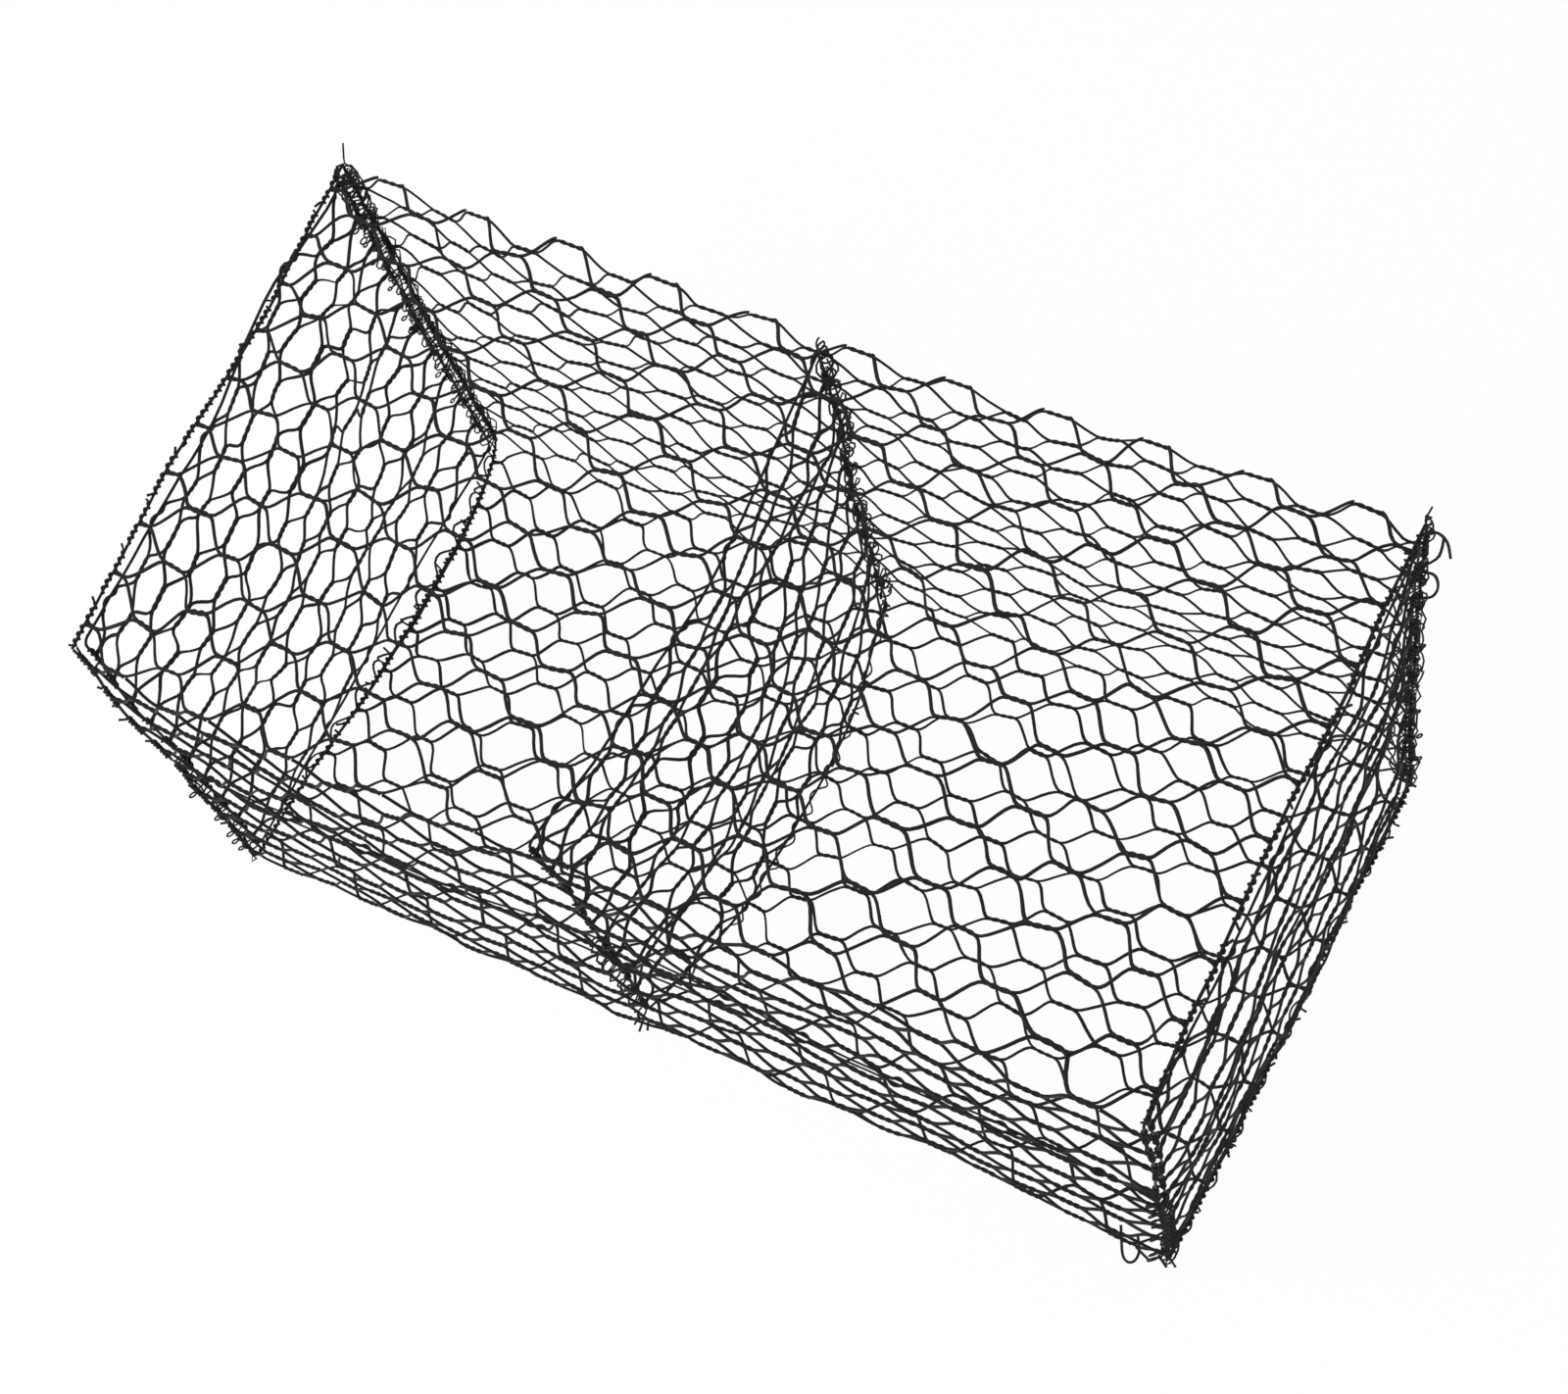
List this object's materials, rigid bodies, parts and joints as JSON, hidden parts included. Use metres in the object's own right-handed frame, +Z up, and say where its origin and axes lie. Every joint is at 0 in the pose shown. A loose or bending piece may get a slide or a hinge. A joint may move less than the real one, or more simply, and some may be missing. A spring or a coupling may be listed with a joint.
{
  "type": "gabion basket",
  "caption": "Long box of woven hexagonal wire mesh with a fold-over lid, a front flap and an upright divider, laced at its edges, for stone fill.",
  "frame": {"origin": "centre of the underside of the basket, on the ground", "axes": "+X along the length, +Z up, the back with the lid's fold at +Y and the flap's front at -Y"},
  "size_m": [2.0718, 1.0718, 1.034],
  "materials": {
    "mesh_wire": "charcoal plastic coat over galvanised steel wire, satin",
    "edge_wire": "charcoal plastic coat over a thicker galvanised steel wire, satin",
    "lacing_wire": "charcoal plastic coat over soft lacing wire, scuffed where it was bent by hand"
  },
  "bodies": {
    "basket": {"base_mesh": "mesh_wire", "back_mesh": "mesh_wire", "lower_front_mesh": "mesh_wire", "left_end_mesh": "mesh_wire", "right_end_mesh": "mesh_wire", "diaphragm_mesh": "mesh_wire", "left_end_edge_wire": "edge_wire", "right_end_edge_wire": "edge_wire", "diaphragm_edge_wire": "edge_wire", "body_edge_wire_left": "edge_wire", "body_edge_wire_right": "edge_wire", "body_front_selvedge_wire": "edge_wire", "left_back_lacing": "lacing_wire", "right_back_lacing": "lacing_wire", "left_front_lacing": "lacing_wire", "right_front_lacing": "lacing_wire", "left_bottom_lacing": "lacing_wire", "right_bottom_lacing": "lacing_wire", "diaphragm_bottom_lacing": "lacing_wire", "diaphragm_back_lacing": "lacing_wire", "diaphragm_front_lacing": "lacing_wire"},
    "lid": {"lid_mesh": "mesh_wire", "lid_edge_wire_left": "edge_wire", "lid_edge_wire_right": "edge_wire"},
    "flap": {"flap_mesh": "mesh_wire", "flap_edge_wire_left": "edge_wire", "flap_edge_wire_right": "edge_wire", "flap_selvedge_wire": "edge_wire"}
  },
  "joints": [
    {"name": "lid_fold", "type": "hinge", "parent": "basket", "child": "lid", "pos_m": [0, 0.5, 0.9953], "axis": [-1, 0, 0], "range_deg": [0, 180]},
    {"name": "flap_fold", "type": "hinge", "parent": "lid", "child": "flap", "pos_m": [0, -0.5, 0.9953], "axis": [-1, 0, 0], "range_deg": [0, 90]}
  ]
}
